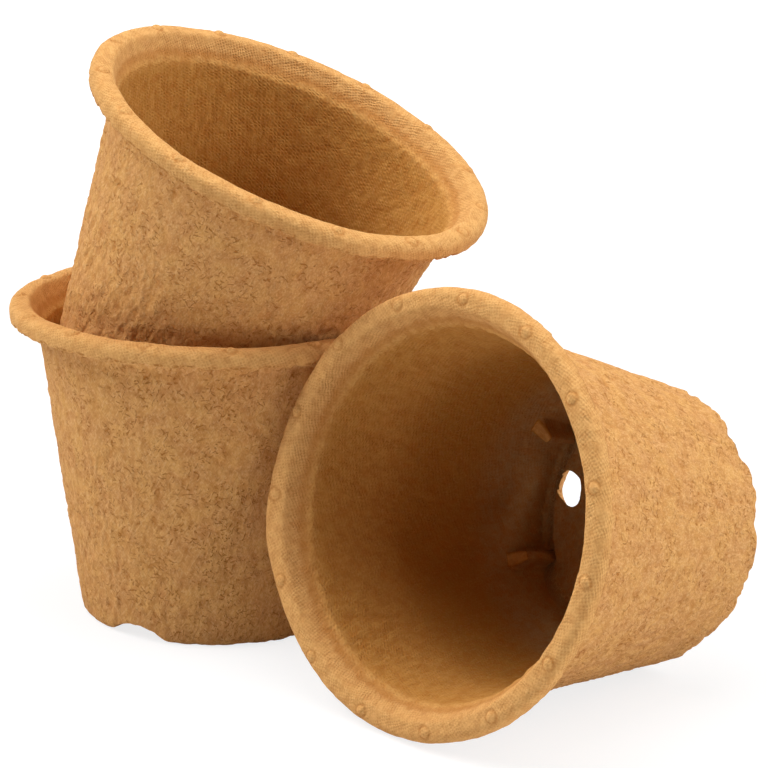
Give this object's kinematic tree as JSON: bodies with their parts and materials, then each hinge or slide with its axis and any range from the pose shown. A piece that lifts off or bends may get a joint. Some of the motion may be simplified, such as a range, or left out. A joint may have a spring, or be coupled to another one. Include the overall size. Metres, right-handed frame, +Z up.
{
  "type": "peat pot set",
  "caption": "Round tapered plant pots of pressed peat fibre with turned-down rims and drain arches, shown upright, nested at a tilt and lying on the side.",
  "frame": {"origin": "on the floor under the middle of the set's bounding box", "axes": "+Z up; +X from the standing pot towards the lying pot; +Y along the lying pot, from its mouth towards its base"},
  "size_m": [0.1924, 0.1118, 0.1404],
  "materials": {
    "peat_fibre": "matte"
  },
  "bodies": {
    "lower_pot": {"lower_pot": "peat_fibre"},
    "nested_pot": {"nested_pot": "peat_fibre"},
    "lying_pot": {"lying_pot": "peat_fibre"}
  },
  "joints": [
    {"name": "nested_pot_lift", "type": "slide", "parent": "lower_pot", "child": "nested_pot", "axis": [0.3868, 0.1257, 0.9135], "range_m": [0, 0.06]},
    {"name": "lying_pot_roll", "type": "hinge", "parent": "lower_pot", "child": "lying_pot", "pos_m": [0.04617, 0.1824, 0], "axis": [0, 0, 1], "range_deg": [0, 60]}
  ]
}
